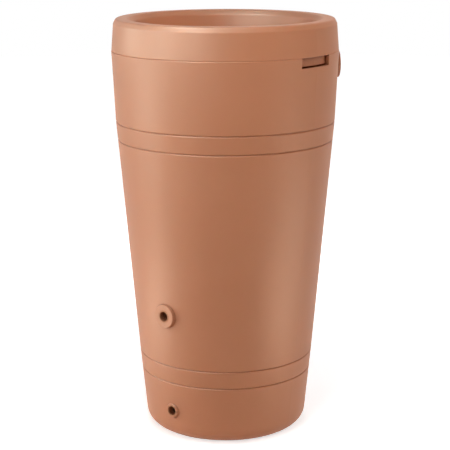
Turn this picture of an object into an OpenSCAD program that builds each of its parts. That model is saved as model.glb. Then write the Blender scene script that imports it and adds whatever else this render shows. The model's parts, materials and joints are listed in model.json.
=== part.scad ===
// Rain barrel: a tapered round tank with a lift-off collector bowl, a lift-out
// leaf strainer and three threaded ports. Millimetres, +Z up, origin at the
// centre of the base. The tap side faces -Y and the finger notches face +X and -X.

/* [Barrel] */
// Outer diameter at the barrel's top edge
barrel_top_d = 594; // [550:1:640]
// Height of the barrel's top edge above the ground
barrel_h = 1016; // [940:1:1100]
// How much narrower the barrel is at the upper groove pair, where the taper changes
shoulder_in = 17; // [6:1:40]
// Drop from the top edge to the upper groove pair
shoulder_drop = 184; // [150:1:220]
// How much narrower it is at the lower groove pair
waist_in = 126; // [90:1:145]
// Height of the upper groove of the lower pair
waist_h = 206; // [185:1:240]
// How much narrower it is at the base, before its corner is rounded
base_in = 166; // [150:1:175]
// Radius of the corner between the side and the base
base_round = 40; // [30:1:50]
// Thickness of the moulded wall
wall = 5; // [4:0.5:6]
// Height of the hollow pressed up into the base
base_hollow_h = 8; // [4:1:14]
// Diameter of that hollow at the ground
base_hollow_d = 290; // [240:1:320]

/* [Grooves] */
// Distance between the two grooves of a pair
groove_pitch = 47.5; // [36:0.5:60]
// Width of a groove at the surface
groove_w = 5.6; // [3:0.2:8]
// Depth of a groove
groove_depth = 2.6; // [1:0.2:3.6]

/* [Top edge and finger notches] */
// Width of the thickened top edge that carries the collector
land_w = 11.5; // [8:0.5:13]
// Height of the thickened top edge
land_h = 34; // [30:1:50]
// Width of a finger notch
notch_w = 115; // [90:1:140]
// Height of a finger notch
notch_h = 26; // [24:1:28]
// Radius of a notch's lower corners
notch_round = 3; // [1:0.5:8]
// Radius of the small edges on both sides of the seam
seam_round = 2; // [0.8:0.1:2.4]

/* [Collector bowl] */
// Height of the lip above the barrel's top edge
rim_h = 82; // [70:1:100]
// How far the rim stands back from the barrel's side at the seam
rim_step = 0.6; // [0:0.1:2]
// How far the rim leans inwards between the seam and the bevel
rim_lean = 5.4; // [0:0.2:8]
// Height of the outer bevel under the lip
bevel_h = 13; // [8:1:18]
// Width of the outer bevel
bevel_w = 6.5; // [4:0.5:12]
// Width of the flat top of the lip
lip_w = 30; // [20:1:36]
// Height of the rounded inner bevel
inner_bevel_h = 12; // [8:1:18]
// Width of the rounded inner bevel
inner_bevel_w = 12; // [8:1:18]
// Depth of the bowl from the lip to the floor's middle
bowl_depth = 120; // [105:1:126]
// How far the bowl's side leans inwards from the inner bevel to the floor
bowl_draft = 14; // [8:1:26]
// Rise of the floor from the strainer to the bowl's side
floor_fall = 5; // [2:1:8]
// Length of the sleeve that drops inside the barrel
sleeve_h = 22; // [18:1:23]
// Gap between the sleeve and the barrel's top edge
sleeve_gap = 1; // [0.5:0.1:2]

/* [Leaf strainer] */
// Outer diameter of the strainer frame
strainer_d = 236; // [200:1:260]
// Height of the strainer frame
strainer_h = 8; // [7:0.5:10]
// Width of the ledge that the frame stands on
ledge_w = 12; // [9:1:15]
// Gap all round the frame
strainer_gap = 0.5; // [0.4:0.1:1]
// Length of the inlet's collar below the ledge
collar_h = 8; // [6:1:12]
// Number of spokes in the frame
spoke_count = 8; // [4:2:12]
// Width of a spoke and of the ring rib
rib_w = 4; // [3:0.5:5]
// Height of the spokes
rib_h = 6; // [5:0.5:6]
// Diameter of the frame's hub
hub_d = 34; // [24:1:44]
// Thickness of the mesh
mesh_t = 1; // [0.8:0.1:1.4]
// Distance between the bars of the mesh
mesh_pitch = 12; // [10:0.5:16]
// Width of a bar of the mesh
mesh_bar = 1.6; // [1:0.1:2.4]
// How far the clamp ring covers the edge of the mesh's hem, and the bars run into it
mesh_lap = 1; // [0.5:0.5:2]
// Height of the ring that clamps the mesh
clamp_h = 5; // [4:0.5:6]
// Width of the ring that clamps the mesh
clamp_w = 9; // [7:0.5:12]

/* [Strainer bail] */
// Diameter of the bail's wire
bail_wire = 5; // [4:0.5:6]
// Radius of the bail's arc, to the middle of the wire
bail_r = 52; // [46:1:58]
// Length of the bail's legs below its arc
bail_leg = 16; // [10:1:24]
// Radius of the bends between legs and pins
bail_bend = 6; // [5:0.5:8]
// Thickness of the lugs that hold the bail
lug_t = 4; // [3:0.5:5]
// Wall of a lug round the bail's pin
lug_wall = 3; // [2.5:0.5:4]
// Gap under the lying bail and between its bends and the lugs
bail_gap = 0.5; // [0.4:0.1:1]
// How far a pin's end reaches past its lug
pin_past = 1.5; // [1:0.5:3]
// Radial running gap between the bail's pins and their holes
pin_gap = 0.08; // [0.05:0.01:0.1]

/* [Ports] */
// Height of the tap port's axis
tap_h = 347; // [300:1:420]
// Height of the drain port's axis
drain_h = 80; // [72:1:100]
// Drop from the barrel's top edge to the overflow port's axis
overflow_drop = 42; // [40:1:60]
// Direction of the overflow port, turned from the tap side
overflow_turn = 135; // [120:1:150]
// Diameter of the tap port's boss
tap_boss_d = 61; // [54:1:70]
// Diameter of the drain port's boss
drain_boss_d = 37; // [37:1:44]
// Diameter of the overflow port's boss
overflow_boss_d = 70; // [58:1:72]
// How far the tap boss stands out
tap_proud = 8; // [5:0.5:10]
// How far the drain boss stands out
drain_proud = 5; // [4:0.5:8]
// How far the overflow boss stands out
overflow_proud = 6; // [4:0.5:8]
// How far a boss's side flares out between its face and the barrel
boss_flare = 2; // [0.5:0.5:3]
// Radius of a boss's outer edge
boss_round = 1.6; // [1:0.2:3]
// Bore of the tap and drain inserts, a 3/4 inch pipe thread's minor diameter
port_bore = 24.12; // [20:0.01:26]
// Bore of the overflow insert, a 1 inch pipe thread's minor diameter
overflow_bore = 30.29; // [26:0.01:34]
// Length of a threaded insert
insert_len = 16; // [16:1:28]
// Wall of a threaded insert
insert_wall = 3; // [2.5:0.5:4]
// How far an insert's flange reaches past its body
flange_w = 1.8; // [1:0.1:2.4]
// Thickness of an insert's flange
flange_t = 3; // [2:0.5:4]
// Depth of the retaining grooves round an insert
grip_depth = 1; // [0.6:0.1:1.4]
// Gap between an insert and the plastic moulded round it
insert_gap = 0.05; // [0.02:0.01:0.1]

/* [Hidden] */
$fn = 96;
arc_steps = 7;      // straight steps in each rounded corner of a profile
past = 1;           // how far a cut runs past the face it opens

terracotta = [0.72, 0.46, 0.34];
insert_brown = [0.66, 0.41, 0.30];
frame_brown = [0.20, 0.14, 0.11];
steel = [0.70, 0.70, 0.68];

// Barrel
top_r = barrel_top_d / 2;
shoulder_d = barrel_top_d - shoulder_in;
waist_d = barrel_top_d - waist_in;
base_d = barrel_top_d - base_in;
shoulder_h = barrel_h - shoulder_drop;
overflow_h = barrel_h - overflow_drop;

// Collector
sleeve_r = top_r - land_w - sleeve_gap;
lip_h = barrel_h + rim_h;
rim_r = top_r - rim_step;
bevel_r = rim_r - rim_lean;
lip_out_r = bevel_r - bevel_w;
lip_in_r = lip_out_r - lip_w;
bowl_top_r = lip_in_r - inner_bevel_w;
bowl_floor_r = bowl_top_r - bowl_draft;
floor_h = lip_h - bowl_depth;

// Strainer, from the seat in the bowl's floor
seat_r = strainer_d / 2 + strainer_gap;
seat_h = floor_h - strainer_h;
inlet_r = seat_r - ledge_w;
rib_under_h = floor_h - rib_h;
mesh_under_h = rib_under_h - mesh_t;
clamp_r = inlet_r - 3 * strainer_gap;
ring_rib_r = (clamp_r - clamp_w + hub_d / 2) / 2 + rib_w;

// Bail and its lugs
bail_axis_h = floor_h + bail_wire / 2 + bail_gap;
lug_in = bail_r + bail_bend + bail_gap;
lug_r = bail_wire / 2 + lug_wall;
pin_end = lug_in + lug_t + pin_past;

// Ports
insert_r = port_bore / 2 + insert_wall;
overflow_insert_r = overflow_bore / 2 + insert_wall;
tap_face = barrel_r(tap_h) + tap_proud;
drain_face = barrel_r(drain_h) + drain_proud;
overflow_face = barrel_r(overflow_h) + overflow_proud;

// ---- geometry of profiles ----

function unit(v) = v / norm(v);
function left_of(v) = [-v[1], v[0]];
function flipped(list) = [for (i = [len(list) - 1:-1:0]) list[i]];

// Points of a round of radius size in corner b of the line a-b-c, limited by its two sides
function corner(a, b, c, size) =
    let (u = unit(a - b), v = unit(c - b),
         half = acos(max(-1, min(1, u * v))) / 2,
         r = min(size, 0.75 * min(norm(a - b), norm(c - b)) * tan(half)),
         run = r / tan(half),
         centre = b + unit(u + v) * (r / sin(half)),
         from = b + u * run - centre, to = b + v * run - centre,
         turn = atan2(from[0] * to[1] - from[1] * to[0], from * to))
    [for (i = [0:arc_steps])
        let (w = turn * i / arc_steps)
        centre + [from[0] * cos(w) - from[1] * sin(w), from[0] * sin(w) + from[1] * cos(w)]];

// A line of points with each inner corner rounded by its own radius
function rounded(pts, radii) =
    [for (i = [0:len(pts) - 1])
        each (i == 0 || i == len(pts) - 1 || radii[i] < 0.05)
            ? [pts[i]] : corner(pts[i - 1], pts[i], pts[i + 1], radii[i])];

// Where the left side of a line of points lies after it moves left by t
function moved_point(a, b, c, t) =
    let (n = left_of(unit(b - a)), m = left_of(unit(c - b)))
    b + (n + m) * t / (1 + n * m);

function moved_left(pts, t) =
    let (last = len(pts) - 1)
    [for (i = [0:last])
        i == 0 ? pts[0] + left_of(unit(pts[1] - pts[0])) * t
        : i == last ? pts[last] + left_of(unit(pts[last] - pts[last - 1])) * t
        : moved_point(pts[i - 1], pts[i], pts[i + 1], t)];

// Radii that keep the wall even when the line moves left by t
function moved_radii(pts, radii, t) =
    [for (i = [0:len(pts) - 1])
        i == 0 || i == len(pts) - 1 || radii[i] < 0.05 ? 0
        : let (a = pts[i] - pts[i - 1], b = pts[i + 1] - pts[i],
               turns_left = a[0] * b[1] - a[1] * b[0] > 0)
          turns_left ? max(0, radii[i] - t) : radii[i] + t];

// ---- barrel ----

// Outer radius of the plain barrel at height h
function barrel_r(h) =
    h < waist_h ? base_d / 2 + (waist_d - base_d) / 2 * h / waist_h
    : h < shoulder_h
        ? waist_d / 2 + (shoulder_d - waist_d) / 2 * (h - waist_h) / (shoulder_h - waist_h)
        : shoulder_d / 2 + (top_r - shoulder_d / 2) * (h - shoulder_h) / (barrel_h - shoulder_h);

// The three corners of a groove, from its lower edge to its upper edge
function groove(h) = [
    [barrel_r(h - groove_w / 2), h - groove_w / 2],
    [barrel_r(h) - groove_depth, h],
    [barrel_r(h + groove_w / 2), h + groove_w / 2]];

// Outside of the barrel, from the middle of the base up to the top edge
function barrel_side() = concat(
    [[0, base_hollow_h],
     [base_hollow_d / 2 - 2 * base_hollow_h, base_hollow_h],
     [base_hollow_d / 2, 0],
     [base_d / 2, 0]],
    groove(waist_h - groove_pitch),
    groove(waist_h),
    groove(shoulder_h - groove_pitch),
    groove(shoulder_h),
    [[top_r, barrel_h]]);

barrel_side_radii = [0, 6, 6, base_round, 0.8, 0.6, 0.8, 0.8, 0.6, 0.8,
                     0.8, 0.6, 0.8, 0.8, 0.6, 0.8, 0];

function without_last(list) = [for (i = [0:len(list) - 2]) list[i]];

module barrel_outside() {
    side = barrel_side();
    line = without_last(rounded(side, barrel_side_radii));
    edge = corner([barrel_r(barrel_h - land_h), barrel_h - land_h], [top_r, barrel_h],
                  [0, barrel_h], seam_round);
    rotate_extrude() polygon(concat(line, edge, [[0, barrel_h]]));
}

module barrel_inside() {
    side = barrel_side();
    inner = without_last(moved_left(side, wall));
    radii = without_last(moved_radii(side, barrel_side_radii, wall));
    land_r = top_r - land_w;
    land_foot = barrel_h - land_h;
    land_slope = 2 * (barrel_r(land_foot) - wall - land_r);
    line = rounded(concat(inner, [[barrel_r(land_foot - land_slope) - wall,
                                   land_foot - land_slope]]), concat(radii, [0]));
    rotate_extrude() polygon(concat(line,
        [[land_r, land_foot], [land_r, barrel_h + past], [0, barrel_h + past]]));
}

// Turns a form whose +Z points outwards to a port's place on the barrel
module at_port(turn, h) {
    rotate([0, 0, turn]) translate([0, 0, h]) rotate([90, 0, 0]) children();
}

// Round flat boss, its face square to the port's axis, its side flared and its edge rounded
module boss(d, face, proud) {
    depth = proud + 2 * wall;
    foot = [d / 2 + boss_flare * depth / proud, face - depth];
    edge = corner(foot, [d / 2, face], [0, face], boss_round);
    rotate_extrude() polygon(concat([[0, face - depth], foot], edge, [[0, face]]));
}

// Hub inside the barrel that holds the whole length of an insert
module hub(insert, face, proud) {
    translate([0, 0, face - insert_len])
        cylinder(r = insert + wall, h = insert_len - proud - wall / 2);
}

// Space that an insert fills in its boss
module insert_pocket(insert, face) {
    translate([0, 0, face - insert_len - past])
        cylinder(r = insert + insert_gap, h = insert_len + 2 * past);
    translate([0, 0, face - flange_t])
        cylinder(r = insert + flange_w + insert_gap, h = flange_t + past);
}

// Space kept free inside the top edge for the collector's sleeve
module sleeve_space() {
    translate([0, 0, barrel_h - sleeve_h - sleeve_gap])
        cylinder(r = sleeve_r + sleeve_gap / 2, h = sleeve_h + sleeve_gap + past);
}

// Opening under the rim that lets four fingers lift the collector
module notch() {
    translate([top_r - 3 * land_w, 0, barrel_h - notch_h]) rotate([90, 0, 90])
        linear_extrude(height = 4 * land_w) {
            translate([-notch_w / 2, notch_round]) square([notch_w, notch_h]);
            translate([-notch_w / 2 + notch_round, 0])
                square([notch_w - 2 * notch_round, notch_h]);
            for (side = [-1, 1])
                translate([side * (notch_w / 2 - notch_round), notch_round])
                    circle(r = notch_round, $fn = 32);
        }
}

module barrel_shell() {
    color(terracotta) difference() {
        union() {
            difference() {
                union() {
                    barrel_outside();
                    at_port(0, tap_h) boss(tap_boss_d, tap_face, tap_proud);
                    at_port(0, drain_h) boss(drain_boss_d, drain_face, drain_proud);
                    at_port(overflow_turn, overflow_h)
                        boss(overflow_boss_d, overflow_face, overflow_proud);
                }
                barrel_inside();
            }
            at_port(0, tap_h) hub(insert_r, tap_face, tap_proud);
            at_port(0, drain_h) hub(insert_r, drain_face, drain_proud);
            at_port(overflow_turn, overflow_h)
                hub(overflow_insert_r, overflow_face, overflow_proud);
        }
        at_port(0, tap_h) insert_pocket(insert_r, tap_face);
        at_port(0, drain_h) insert_pocket(insert_r, drain_face);
        at_port(overflow_turn, overflow_h) insert_pocket(overflow_insert_r, overflow_face);
        for (half_turn = [0, 180]) rotate([0, 0, half_turn]) notch();
        sleeve_space();
    }
}

// ---- threaded inserts ----

// Bush with a flange at its mouth and two retaining grooves round its body
module threaded_insert(bore, body, face) {
    back = face - insert_len;
    grip = (insert_len - flange_t) / 5;
    lead = 1;
    rotate_extrude() polygon([
        [bore, back], [body, back], [body, back + grip],
        [body - grip_depth, back + grip], [body - grip_depth, back + 2 * grip],
        [body, back + 2 * grip], [body, back + 3 * grip],
        [body - grip_depth, back + 3 * grip], [body - grip_depth, back + 4 * grip],
        [body, back + 4 * grip], [body, face - flange_t],
        [body + flange_w, face - flange_t], [body + flange_w, face],
        [bore + lead, face], [bore, face - lead]]);
}

module tap_port_insert() {
    color(insert_brown) at_port(0, tap_h) threaded_insert(port_bore / 2, insert_r, tap_face);
}

module drain_port_insert() {
    color(insert_brown)
        at_port(0, drain_h) threaded_insert(port_bore / 2, insert_r, drain_face);
}

module overflow_port_insert() {
    color(insert_brown) at_port(overflow_turn, overflow_h)
        threaded_insert(overflow_bore / 2, overflow_insert_r, overflow_face);
}

// ---- collector bowl ----

// Upper side of the collector: sleeve, seat, rim, lip, bowl, floor, strainer seat, collar
function collector_side() = [
    [sleeve_r, barrel_h - sleeve_h],
    [sleeve_r, barrel_h],
    [rim_r, barrel_h],
    [bevel_r, lip_h - bevel_h],
    [lip_out_r, lip_h],
    [lip_in_r, lip_h],
    [bowl_top_r, lip_h - inner_bevel_h],
    [bowl_floor_r, floor_h + floor_fall],
    [seat_r, floor_h],
    [seat_r, seat_h],
    [inlet_r, seat_h],
    [inlet_r, seat_h - collar_h]];

collector_radii = [0, 0, seam_round, 6, 8, 9, 9, 34, 0, 0, 2, 0];

module collector_bowl() {
    side = collector_side();
    under = moved_left(side, wall);
    under_radii = moved_radii(side, collector_radii, wall);
    color(terracotta) rotate_extrude()
        polygon(concat(rounded(side, collector_radii), flipped(rounded(under, under_radii))));
}

// ---- leaf strainer ----

module strainer_rib_ring(r, w, low, high) {
    translate([0, 0, low]) difference() {
        cylinder(r = r, h = high - low);
        translate([0, 0, -past]) cylinder(r = r - w, h = high - low + 2 * past);
    }
}

module bail_lug(side) {
    translate([side * (lug_in + lug_t / 2), 0, 0]) difference() {
        union() {
            translate([-lug_t / 2, -lug_r, rib_under_h])
                cube([lug_t, 2 * lug_r, bail_axis_h - rib_under_h]);
            translate([-lug_t / 2, 0, bail_axis_h]) rotate([0, 90, 0])
                cylinder(r = lug_r, h = lug_t);
        }
        translate([-lug_t, 0, bail_axis_h]) rotate([0, 90, 0])
            cylinder(r = bail_wire / 2 + pin_gap, h = 2 * lug_t);
    }
}

module strainer_frame() {
    frame_r = strainer_d / 2;
    color(frame_brown) union() {
        strainer_rib_ring(frame_r, frame_r - clamp_r + clamp_w, rib_under_h, floor_h);
        strainer_rib_ring(frame_r, frame_r - clamp_r - strainer_gap, seat_h, floor_h);
        strainer_rib_ring(ring_rib_r, rib_w, rib_under_h, floor_h);
        translate([0, 0, rib_under_h]) cylinder(d = hub_d, h = rib_h);
        for (i = [0:spoke_count - 1])
            rotate([0, 0, i * 360 / spoke_count])
                translate([hub_d / 2 - rib_w, -rib_w / 2, rib_under_h])
                    cube([clamp_r - hub_d / 2, rib_w, rib_h]);
        for (side = [-1, 1]) bail_lug(side);
    }
}

// Square mesh inside a plain hem, cut to the clamp ring's size
module strainer_mesh() {
    hem_r = clamp_r - clamp_w + mesh_lap;
    count = floor(clamp_r / mesh_pitch);
    color(steel) translate([0, 0, mesh_under_h]) linear_extrude(height = mesh_t) {
        difference() {
            circle(r = clamp_r);
            circle(r = hem_r);
        }
        intersection() {
            circle(r = hem_r + mesh_lap);
            for (i = [-count:count]) {
                translate([i * mesh_pitch - mesh_bar / 2, -clamp_r])
                    square([mesh_bar, 2 * clamp_r]);
                translate([-clamp_r, i * mesh_pitch - mesh_bar / 2])
                    square([2 * clamp_r, mesh_bar]);
            }
        }
    }
}

module strainer_clamp_ring() {
    color(frame_brown)
        strainer_rib_ring(clamp_r, clamp_w, mesh_under_h - clamp_h, mesh_under_h);
}

// Wire bail that lies on the spokes: two pins, two bends, two legs and an arc
module strainer_bail() {
    color(steel) translate([0, 0, bail_axis_h]) {
        translate([0, bail_leg, 0]) rotate_extrude(angle = 180)
            translate([bail_r, 0]) circle(d = bail_wire, $fn = 32);
        for (side = [0, 1]) mirror([side, 0, 0]) {
            translate([bail_r, bail_leg, 0]) rotate([90, 0, 0])
                cylinder(d = bail_wire, h = bail_leg - bail_bend);
            translate([bail_r + bail_bend, bail_bend, 0]) rotate([0, 0, 180])
                rotate_extrude(angle = 90)
                    translate([bail_bend, 0]) circle(d = bail_wire, $fn = 32);
            translate([bail_r + bail_bend, 0, 0]) rotate([0, 90, 0])
                cylinder(d = bail_wire, h = pin_end - bail_r - bail_bend);
        }
    }
}

barrel_shell();
collector_bowl();
tap_port_insert();
drain_port_insert();
overflow_port_insert();
strainer_frame();
strainer_mesh();
strainer_clamp_ring();
strainer_bail();
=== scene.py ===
import bpy
import bmesh
import json
import math
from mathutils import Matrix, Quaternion, Vector


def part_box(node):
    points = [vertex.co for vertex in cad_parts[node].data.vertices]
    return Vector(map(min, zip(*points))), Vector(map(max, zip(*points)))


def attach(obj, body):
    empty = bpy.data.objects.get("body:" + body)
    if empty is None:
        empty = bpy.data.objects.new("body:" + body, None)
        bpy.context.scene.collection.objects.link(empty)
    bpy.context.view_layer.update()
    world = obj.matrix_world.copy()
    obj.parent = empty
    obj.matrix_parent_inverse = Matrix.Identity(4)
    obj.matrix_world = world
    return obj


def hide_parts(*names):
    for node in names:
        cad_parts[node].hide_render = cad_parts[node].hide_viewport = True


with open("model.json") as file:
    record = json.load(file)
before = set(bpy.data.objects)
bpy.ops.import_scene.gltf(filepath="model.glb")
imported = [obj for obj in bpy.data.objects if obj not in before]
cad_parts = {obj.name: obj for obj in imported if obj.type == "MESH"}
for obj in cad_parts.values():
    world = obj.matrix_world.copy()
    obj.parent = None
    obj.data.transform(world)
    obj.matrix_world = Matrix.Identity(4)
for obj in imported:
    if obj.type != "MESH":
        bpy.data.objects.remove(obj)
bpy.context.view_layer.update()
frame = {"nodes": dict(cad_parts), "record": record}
nodes = frame["nodes"]
mounts = {mount["name"]: mount for mount in frame["record"]["mounts"]}
scene = bpy.context.scene
toRight, toBack, upward = Vector((1, 0, 0)), Vector((0, 1, 0)), Vector((0, 0, 1))
print("frame loaded:", len(nodes), "nodes")


# camera: turn is counted in degrees from the tap side towards the right-hand notch,
# and distances from the barrel's axis, for the lamps as well

cameraSetup = {
    "turn": 39.25,
    "distance": 3.588,
    "height": 1.4,
    "tilt": 13.43,  # degrees below the horizon
    "roll": -0.13,
    "lens": 109.6,
    "sensor": 36,
    "shiftX": -0.0012,
    "seesFrom": 0.05,
    "seesTo": 60,
}


def addCamera(say):
    turn, tilt = math.radians(say["turn"]), math.radians(say["tilt"])
    data = bpy.data.cameras.new("mainCamera")
    data.lens = say["lens"]
    data.sensor_width = say["sensor"]
    data.shift_x = say["shiftX"]
    data.clip_start, data.clip_end = say["seesFrom"], say["seesTo"]
    camera = bpy.data.objects.new("mainCamera", data)
    scene.collection.objects.link(camera)
    away = Vector((math.sin(turn), -math.cos(turn), 0))
    camera.location = away * say["distance"] + Vector((0, 0, say["height"]))
    look = -away * math.cos(tilt) - Vector((0, 0, math.sin(tilt)))
    level = look.to_track_quat("-Z", "Y")
    camera.rotation_euler = (level @ Quaternion(upward, math.radians(say["roll"]))).to_euler()
    scene.camera = camera


addCamera(cameraSetup)
print("camera set")


# lamps: soft boxes that light the plastic, and warm ones that only give it its sheen

lampStands = {  # aim is the height on the barrel's axis that the lamp faces
    "overhead": {"distance": 1.0, "height": 2.8, "size": (0.5, 0.5), "aim": 1.05},
    "near": {"distance": 1.3, "height": 1.6, "size": (0.5, 0.5), "aim": 1.05},
    "tall": {"distance": 2.4, "height": 1.9, "size": (0.9, 0.9), "aim": 1.05},
    "lowBox": {"distance": 2.6, "height": 0.5, "size": (0.8, 0.9), "aim": 0.5},
    "lowStrip": {"distance": 2.6, "height": 0.5, "size": (0.3, 0.9), "aim": 0.5},
    "highStrip": {"distance": 2.6, "height": 1.5, "size": (0.3, 0.9), "aim": 1.5},
    "floor": {"distance": 0.85, "height": 0.06, "size": (0.5, 0.2), "aim": 0.35},
    "farFloor": {"distance": 1.5, "height": 0.1, "size": (0.6, 0.3), "aim": 0.5},
}
lampSetup = {  # power in watts
    "topFront": {"stand": "overhead", "turn": 35, "power": 14},
    "nearFront": {"stand": "near", "turn": 29, "power": 4.5},
    "lowFront": {"stand": "lowBox", "turn": 9, "power": 12},
    "leftSide": {"stand": "lowBox", "turn": -52, "power": 24.6},
    "rightSide": {"stand": "lowBox", "turn": 107, "power": 6.6},
    "rightRear": {"stand": "tall", "turn": 129, "power": 16.5},
    "behind": {"stand": "tall", "turn": 219, "power": 19.5},
}
sheenSetup = {
    "frontSheen": {"stand": "near", "turn": 9, "power": 61},
    "leftSheenHigh": {"stand": "highStrip", "turn": -61, "power": 88.6},
    "leftSheenLow": {"stand": "lowStrip", "turn": -41, "power": 52.7},
    "leftSheenFloor": {"stand": "floor", "turn": -41, "power": 5.3},
    "frontSheenHigh": {"stand": "highStrip", "turn": -21, "power": 135},
    "topSheenLeft": {"stand": "overhead", "turn": -21, "power": 215},
    "topSheenRight": {"stand": "overhead", "turn": 59, "power": 46},
    "rightSheenLow": {"stand": "lowStrip", "turn": 99, "power": 9},
    "rightSheenNear": {"stand": "floor", "turn": 99, "power": 4.3},
    "rightSheenFar": {"stand": "farFloor", "turn": 119, "power": 7.5},
}
sheenColour = (1.0, 0.97, 0.8)


def addLamp(name, say):
    stand = lampStands[say["stand"]]
    data = bpy.data.lights.new(name, "AREA")
    data.shape = "RECTANGLE"
    data.size, data.size_y = stand["size"]
    data.energy = say["power"]
    lamp = bpy.data.objects.new(name, data)
    scene.collection.objects.link(lamp)
    turn, distance = math.radians(say["turn"]), stand["distance"]
    lamp.location = (math.sin(turn) * distance, -math.cos(turn) * distance, stand["height"])
    aim = Vector((0, 0, stand["aim"])) - lamp.location
    lamp.rotation_euler = aim.to_track_quat("-Z", "Y").to_euler()
    lamp.visible_camera = False
    return lamp


for lampName, lampSay in lampSetup.items():
    addLamp(lampName, lampSay).visible_glossy = False
for lampName, lampSay in sheenSetup.items():
    lamp = addLamp(lampName, lampSay)
    lamp.visible_diffuse = False
    lamp.data.color = sheenColour
print("lamps:", len(lampSetup) + len(sheenSetup))


# node helpers

def newNode(tree, kind, **values):
    node = tree.nodes.new(kind)
    for label, value in values.items():
        setattr(node, label, value)
    return node


def setSockets(node, values):
    for label, value in values.items():
        node.inputs[label].default_value = value


def mathNode(tree, operation, a, b, clamp=False):
    node = newNode(tree, "ShaderNodeMath", operation=operation, use_clamp=clamp)
    for slot, value in enumerate((a, b)):
        if isinstance(value, (int, float)):
            node.inputs[slot].default_value = value
        else:
            tree.links.new(value, node.inputs[slot])
    return node.outputs[0]


def rangeNode(tree, value, low, high, fromLow=0.0, fromHigh=1.0, curve="LINEAR"):
    node = newNode(tree, "ShaderNodeMapRange", interpolation_type=curve)
    setSockets(node, {"From Min": fromLow, "From Max": fromHigh, "To Min": low, "To Max": high})
    tree.links.new(value, node.inputs["Value"])
    return node.outputs["Result"]


def mixColour(tree, factor, a, b):
    node = newNode(tree, "ShaderNodeMix", data_type="RGBA")
    tree.links.new(factor, node.inputs[0])
    for slot, value in ((6, a), (7, b)):  # the mix node's two colour sockets
        if isinstance(value, tuple):
            node.inputs[slot].default_value = value
        else:
            tree.links.new(value, node.inputs[slot])
    return node.outputs[2]


def noiseNode(tree, where, scale, detail, roughness):
    node = newNode(tree, "ShaderNodeTexNoise")
    setSockets(node, {"Detail": detail, "Roughness": roughness})
    tree.links.new(where, node.inputs["Vector"])
    tree.links.new(scale, node.inputs["Scale"])
    return node.outputs["Fac"]


def bumpNode(tree, height, strength, depth, edge):
    bump = newNode(tree, "ShaderNodeBump")
    setSockets(bump, {"Strength": strength, "Distance": depth})
    tree.links.new(height, bump.inputs["Height"])
    if edge:
        rounded = newNode(tree, "ShaderNodeBevel", samples=6)
        rounded.inputs["Radius"].default_value = edge
        tree.links.new(rounded.outputs["Normal"], bump.inputs["Normal"])
    return bump.outputs["Normal"]


# studio: white paper that keeps a faint shadow, white all round to the eye and in reflections

studio = {
    "ambient": 0.12,
    "white": (1, 1, 1, 1),
    "paper": (0.82, 0.82, 0.82, 1),
    "paperRadius": 9.0,
    "paperSides": 64,
    "glowNear": 0.62,
    "glowFar": 1.0,
    "glowFrom": 0.45,  # metres from the barrel's axis
    "glowTo": 2.2,
}


def seenDirectly(tree):
    path = newNode(tree, "ShaderNodeLightPath")
    mirrored = mathNode(tree, "MAXIMUM", path.outputs["Is Glossy Ray"],
                        path.outputs["Is Transmission Ray"])
    return mathNode(tree, "MAXIMUM", path.outputs["Is Camera Ray"], mirrored)


def addWorld(say):
    world = bpy.data.worlds.new("studioWorld")
    world.use_nodes = True
    tree = world.node_tree
    tree.nodes.clear()
    background = newNode(tree, "ShaderNodeBackground")
    background.inputs["Color"].default_value = say["white"]
    strength = rangeNode(tree, seenDirectly(tree), say["ambient"], 1.0)
    tree.links.new(strength, background.inputs["Strength"])
    out = newNode(tree, "ShaderNodeOutputWorld")
    tree.links.new(background.outputs[0], out.inputs["Surface"])
    scene.world = world


def paperMaterial(say):
    material = bpy.data.materials.new("studioPaper")
    material.use_nodes = True
    tree = material.node_tree
    tree.nodes.clear()
    paper = newNode(tree, "ShaderNodeBsdfDiffuse")
    paper.inputs["Color"].default_value = say["paper"]
    where = newNode(tree, "ShaderNodeTexCoord").outputs["Object"]
    away = newNode(tree, "ShaderNodeVectorMath", operation="LENGTH")
    tree.links.new(where, away.inputs[0])
    glow = rangeNode(tree, away.outputs["Value"], say["glowNear"], say["glowFar"],
                     say["glowFrom"], say["glowTo"], "SMOOTHSTEP")
    light = newNode(tree, "ShaderNodeEmission")
    tree.links.new(mathNode(tree, "MULTIPLY", glow, seenDirectly(tree)), light.inputs["Strength"])
    both = newNode(tree, "ShaderNodeAddShader")
    tree.links.new(paper.outputs[0], both.inputs[0])
    tree.links.new(light.outputs[0], both.inputs[1])
    out = newNode(tree, "ShaderNodeOutputMaterial")
    tree.links.new(both.outputs[0], out.inputs["Surface"])
    return material


def addPaper(say):
    form = bmesh.new()
    bmesh.ops.create_circle(form, cap_ends=True, segments=say["paperSides"],
                            radius=say["paperRadius"])
    mesh = bpy.data.meshes.new("studioPaper")
    form.to_mesh(mesh)
    form.free()
    mesh.materials.append(paperMaterial(say))
    paper = bpy.data.objects.new("studioPaper", mesh)
    scene.collection.objects.link(paper)


addWorld(studio)
addPaper(studio)
print("studio ready")


# moulded skin, shared by all the finishes: a fine pebble from the mould, slow waves,
# faint mottling and pigment specks

skinRecipe = {
    "noises": {  # scale, detail and roughness
        "Pebble": (900.0, 2.0, 0.55),
        "Wave": (6.0, 1.0, 0.4),
        "Mottle": (14.0, 4.0, 0.6),
        "Speck": (1500.0, 1.0, 0.5),
    },
    "waveShare": 0.5,
    "pebbleShare": 0.2,
    "speckFrom": 0.62,
    "speckSharpness": 8.0,
    "mottleRough": 0.6,
    "pebbleRough": 0.4,
}
noiseMiddle = (0.3, 0.7)  # where most of a noise's values lie


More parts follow.
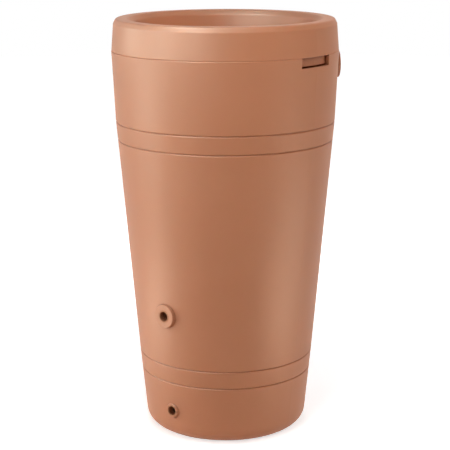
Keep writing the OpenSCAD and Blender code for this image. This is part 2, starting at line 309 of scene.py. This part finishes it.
def newGroup(name, inputs, outputs):
    group = bpy.data.node_groups.new(name, "ShaderNodeTree")
    for label, value in inputs.items():
        socket = group.interface.new_socket(label, in_out="INPUT", socket_type="NodeSocketFloat")
        socket.default_value = value
    for label in outputs:
        group.interface.new_socket(label, in_out="OUTPUT", socket_type="NodeSocketFloat")
    return group, newNode(group, "NodeGroupInput"), newNode(group, "NodeGroupOutput")


def buildMouldedSkin(say):
    scales = {label + " Scale": noise[0] for label, noise in say["noises"].items()}
    group, given, result = newGroup("mouldedSkin", {**scales, "Wave Share": say["waveShare"]},
                                    ("Mottle", "Specks", "Rough", "Height"))
    where = newNode(group, "ShaderNodeTexCoord").outputs["Object"]
    noise = {label: noiseNode(group, where, given.outputs[label + " Scale"], detail, roughness)
             for label, (scale, detail, roughness) in say["noises"].items()}
    specks = mathNode(group, "MULTIPLY", mathNode(group, "SUBTRACT", noise["Speck"], say["speckFrom"]),
                      say["speckSharpness"], clamp=True)
    rough = mathNode(group, "ADD", mathNode(group, "MULTIPLY", noise["Mottle"], say["mottleRough"]),
                     mathNode(group, "MULTIPLY", noise["Pebble"], say["pebbleRough"]))
    height = mathNode(group, "ADD", mathNode(group, "MULTIPLY", noise["Pebble"], say["pebbleShare"]),
                      mathNode(group, "MULTIPLY", noise["Wave"], given.outputs["Wave Share"]))
    for label, value in (("Mottle", noise["Mottle"]), ("Specks", specks),
                         ("Rough", rough), ("Height", height)):
        group.links.new(value, result.inputs[label])
    return group


mouldedSkin = buildMouldedSkin(skinRecipe)


def skinnedMaterial(name, say):
    material = bpy.data.materials.new(name)
    material.use_nodes = True
    tree = material.node_tree
    skin = newNode(tree, "ShaderNodeGroup", node_tree=mouldedSkin)
    setSockets(skin, say["skin"])
    return material, tree, tree.nodes["Principled BSDF"], skin


def plasticMaterial(name, say):
    material, tree, shader, skin = skinnedMaterial(name, say)
    mottle = rangeNode(tree, skin.outputs["Mottle"], 0, 1, *noiseMiddle)
    specks = mathNode(tree, "MULTIPLY", skin.outputs["Specks"], say["speckMix"])
    colour = mixColour(tree, specks, mixColour(tree, mottle, say["dark"], say["light"]), say["speck"])
    if "paintedShade" in say:
        # painted shade: the colour darkens where ambient occlusion finds corners, bores and recesses,
        # standing in for the shade that falls there
        shade = newNode(tree, "ShaderNodeAmbientOcclusion", samples=8, only_local=True)
        shade.inputs["Distance"].default_value = say["paintedShadeReach"]
        paintedShadeMask = rangeNode(tree, shade.outputs["AO"], say["paintedShadeMost"], 0, *say["paintedShadeFrom"])
        colour = mixColour(tree, paintedShadeMask, colour, say["paintedShade"])
    rough = rangeNode(tree, skin.outputs["Rough"], *say["rough"], *noiseMiddle)
    surface = bumpNode(tree, skin.outputs["Height"], say["bump"], say["bumpDepth"], say["edge"])
    tree.links.new(colour, shader.inputs["Base Color"])
    tree.links.new(rough, shader.inputs["Roughness"])
    tree.links.new(surface, shader.inputs["Normal"])
    setSockets(shader, {"Specular IOR Level": say["specular"], "IOR": 1.5})
    if "glowThrough" in say:
        setSockets(shader, {"Subsurface Weight": say["glowThrough"],
                            "Subsurface Radius": say["glowSpread"],
                            "Subsurface Scale": say["glowDepth"]})
    return material


terracottaPlastic = plasticMaterial("terracottaPlastic", {
    "dark": (0.530, 0.206, 0.100, 1), "light": (0.546, 0.214, 0.106, 1),
    "speck": (0.40, 0.15, 0.07, 1), "speckMix": 0.2,
    "rough": (0.46, 0.53), "specular": 0.2,
    "bump": 0.12, "bumpDepth": 0.0003, "edge": 0.0008,
    # painted shade darkens this plastic in corners, grooves, the notch and beside the bosses
    "paintedShade": (0.2, 0.05, 0.016, 1), "paintedShadeReach": 0.03, "paintedShadeMost": 0.8, "paintedShadeFrom": (0.5, 0.9),
    "glowThrough": 0.25, "glowSpread": (1.0, 0.42, 0.2), "glowDepth": 0.008,
    "skin": {"Pebble Scale": 900, "Wave Scale": 5, "Mottle Scale": 9, "Speck Scale": 1600,
             "Wave Share": 0.3},
})
insertPlastic = plasticMaterial("insertPlastic", {
    "dark": (0.52, 0.225, 0.118, 1), "light": (0.55, 0.245, 0.13, 1),
    "speck": (0.40, 0.15, 0.07, 1), "speckMix": 0.1,
    "rough": (0.72, 0.82), "specular": 0.03,
    "bump": 0.1, "bumpDepth": 0.0001, "edge": 0,
    # painted shade darkens the insert's bore
    "paintedShade": (0.19, 0.035, 0.002, 1), "paintedShadeReach": 0.02, "paintedShadeMost": 1.0, "paintedShadeFrom": (0.45, 0.85),
    "skin": {"Pebble Scale": 1400, "Wave Scale": 30, "Mottle Scale": 40, "Speck Scale": 2500,
             "Wave Share": 0.1},
})
strainerPlastic = plasticMaterial("strainerPlastic", {
    "dark": (0.030, 0.021, 0.016, 1), "light": (0.042, 0.030, 0.023, 1),
    "speck": (0.07, 0.055, 0.045, 1), "speckMix": 0.3,
    "rough": (0.42, 0.56), "specular": 0.5,
    "bump": 0.3, "bumpDepth": 0.0002, "edge": 0.0006,
    "skin": {"Pebble Scale": 1800, "Wave Scale": 40, "Mottle Scale": 60, "Speck Scale": 2600,
             "Wave Share": 0.2},
})
print("plastics ready")


def steelMaterial(name, say):
    material, tree, shader, skin = skinnedMaterial(name, say)
    colour = mixColour(tree, skin.outputs["Mottle"], say["dark"], say["light"])
    surface = bumpNode(tree, skin.outputs["Height"], say["bump"], say["bumpDepth"], say["edge"])
    tree.links.new(colour, shader.inputs["Base Color"])
    tree.links.new(rangeNode(tree, skin.outputs["Rough"], *say["rough"]), shader.inputs["Roughness"])
    tree.links.new(surface, shader.inputs["Normal"])
    shader.inputs["Metallic"].default_value = 1.0
    return material


drawnSteel = steelMaterial("drawnSteel", {
    "dark": (0.40, 0.40, 0.39, 1), "light": (0.62, 0.62, 0.60, 1),
    "rough": (0.22, 0.42),
    "bump": 0.2, "bumpDepth": 0.00005, "edge": 0,
    "skin": {"Pebble Scale": 900, "Wave Scale": 40, "Mottle Scale": 90, "Speck Scale": 2000,
             "Wave Share": 0.1},
})
print("steel ready")


# mesh helpers

def joinRings(form, near, far):
    for j in range(len(near)):
        k = (j + 1) % len(near)
        form.faces.new((near[j], near[k], far[k], far[j]))


def pieceFrom(form, name, material, smoothAngle):
    bmesh.ops.recalc_face_normals(form, faces=form.faces)
    mesh = bpy.data.meshes.new(name)
    form.to_mesh(mesh)
    form.free()
    mesh.materials.append(material)
    mesh.shade_smooth()
    mesh.set_sharp_from_angle(angle=math.radians(smoothAngle))
    piece = bpy.data.objects.new(name, mesh)
    scene.collection.objects.link(piece)
    return piece


# threaded inserts: a bush with retaining grooves, a round-edged lip and a real pipe thread in its bore

threads = {  # pitch and depth of the pipe threads, in metres
    "tap_port": {"pitch": 0.001814, "depth": 0.00116},
    "drain_port": {"pitch": 0.001814, "depth": 0.00116},
    "overflow_port": {"pitch": 0.002309, "depth": 0.00148},
}
insertForm = {
    "flangeThick": 0.003,
    "lipHigh": 0.0008,
    "lipRound": 0.0007,
    "lipSteps": 5,
    "chamfer": 0.001,
    "gripDepth": 0.001,
    "grips": 2,
    "endSlice": 0.0005,  # the body's radius is measured this close to its inner end
    "rowsPerPitch": 8,
    "around": 80,
    "smoothAngle": 32,
}


def measureInsert(nodeName, mount, say):
    # where the bush starts and ends along its axis, its bore and its widest radius
    axis = Vector(mount["axis"]).normalized()
    centre = Vector(mount["pos_m"])
    spots = [v.co - centre for v in nodes[nodeName].data.vertices]
    along = [spot.dot(axis) for spot in spots]
    radii = [(spot - axis * a).length for spot, a in zip(spots, along)]
    back = min(along)
    return {"axis": axis, "centre": centre, "back": back, "face": max(along),
            "bore": mount["dims"]["r_mm"] / 1000, "flange": max(radii),
            "body": max(r for r, a in zip(radii, along) if a < back + say["endSlice"])}


def roundedEdge(radius, along, size, start, end, steps):
    # points of a round whose centre is given, between two directions in degrees
    turns = [math.radians(start + (end - start) * i / steps) for i in range(steps + 1)]
    return [(radius + size * math.cos(t), along + size * math.sin(t)) for t in turns]


def insertRows(size, thread, say):
    # rows of (radius, place along the axis, share of the thread's depth) round the section
    body, back = size["body"], size["back"]
    lip = size["face"] + say["lipHigh"]
    mouth = size["face"] - say["chamfer"]
    count = int((mouth - back) / thread["pitch"] * say["rowsPerPitch"])
    rows = []
    for i in range(count + 1):
        fade = min(1.0, i / say["rowsPerPitch"], (count - i) / say["rowsPerPitch"])
        rows.append((size["bore"], back + (mouth - back) * i / count, fade))
    lead = size["bore"] + say["chamfer"]
    edge, steps = say["lipRound"], say["lipSteps"]
    inner = roundedEdge(lead + edge, lip - edge, edge, 180, 90, steps)
    outer = roundedEdge(size["flange"] - edge, lip - edge, edge, 90, 0, steps)
    rows += [(radius, along, 0) for radius, along in inner + outer]
    under = size["face"] - say["flangeThick"]
    rows += [(size["flange"], under, 0), (body, under, 0)]
    gripPitch = (under - back) / (2 * say["grips"] + 1)
    groove = body - say["gripDepth"]
    for i in range(say["grips"]):
        top = under - gripPitch * (2 * i + 1)
        rows += [(body, top, 0), (groove, top, 0),
                 (groove, top - gripPitch, 0), (body, top - gripPitch, 0)]
    rows.append((body, back, 0))
    return rows


def buildInsert(portName, say):
    nodeName = portName + "_insert"
    thread = threads[portName]
    size = measureInsert(nodeName, mounts[portName], say)
    axis = size["axis"]
    side = axis.cross(upward).normalized()
    up = side.cross(axis)
    form = bmesh.new()
    rings = []
    for radius, along, share in insertRows(size, thread, say):
        ring = []
        for j in range(say["around"]):
            turn = 2 * math.pi * j / say["around"]
            phase = along / thread["pitch"] - j / say["around"]
            cut = share * thread["depth"] * (0.5 - 0.5 * math.cos(2 * math.pi * phase))
            out = side * math.cos(turn) + up * math.sin(turn)
            ring.append(form.verts.new(size["centre"] + axis * along + out * (radius + cut)))
        rings.append(ring)
    for near, far in zip(rings, rings[1:] + rings[:1]):
        joinRings(form, near, far)
    pieceName = nodeName.replace("_port_insert", "InsertThreaded")
    piece = pieceFrom(form, pieceName, insertPlastic, say["smoothAngle"])
    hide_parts(nodeName)
    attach(piece, "barrel")


for portName in threads:
    buildInsert(portName, insertForm)
print("threaded inserts:", len(threads))


# leaf screen: drawn wire woven over and under, held round its edge by the clamp ring

screenForm = {
    "pitch": 0.0034,
    "wire": 0.00049,
    "sides": 6,
    "edgeIn": 0.0015,  # the wires end this far inside the screen's rim
    "smoothAngle": 80,
}


def wireRing(form, place, across, say):
    ring = []
    for j in range(say["sides"]):
        turn, radius = 2 * math.pi * j / say["sides"], say["wire"] / 2
        spot = place + across * (radius * math.cos(turn)) + upward * (radius * math.sin(turn))
        ring.append(form.verts.new(spot))
    return ring


def addWire(form, start, along, across, half, firstSide, say):
    # one wire: it stands high over one crossing wire and low under the next
    steps = max(2, int(2 * half / say["pitch"]))
    rings = []
    for i in range(2 * steps + 1):
        reach = (i / 2 - steps / 2) * say["pitch"]
        crossing = reach / say["pitch"] + firstSide
        wave = math.cos(math.pi * crossing) * say["wire"] / 2
        rings.append(wireRing(form, start + along * reach + upward * wave, across, say))
    for near, far in zip(rings, rings[1:]):
        joinRings(form, near, far)
    form.faces.new(rings[0])
    form.faces.new(list(reversed(rings[-1])))


def buildScreen(say):
    low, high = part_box("strainer_mesh")
    middle = (low + high) / 2
    reach = (high.x - low.x) / 2 - say["edgeIn"]
    count = int(reach / say["pitch"])
    form = bmesh.new()
    for i in range(-count, count + 1):
        off = i * say["pitch"]
        half = math.sqrt(reach * reach - off * off)
        addWire(form, middle + toBack * off, toRight, toBack, half, i, say)
        addWire(form, middle + toRight * off, toBack, toRight, half, i + 1, say)
    piece = pieceFrom(form, "strainerScreenWoven", drawnSteel, say["smoothAngle"])
    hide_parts("strainer_mesh")
    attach(piece, "strainer")


buildScreen(screenForm)
print("woven screen ready")


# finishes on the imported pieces

finishes = {
    "barrel_shell": (terracottaPlastic, "barrel_plastic"),
    "collector_bowl": (terracottaPlastic, "barrel_plastic"),
    "strainer_frame": (strainerPlastic, "strainer_plastic"),
    "strainer_clamp_ring": (strainerPlastic, "strainer_plastic"),
    "strainer_bail": (drawnSteel, "strainer_steel"),
}

for nodeName, (material, slotName) in finishes.items():
    piece = nodes[nodeName]
    for holder in piece.material_slots:
        holder.link = "OBJECT"
        holder.material = material
print("finishes set:", len(finishes))

scene.view_settings.view_transform = "Standard"
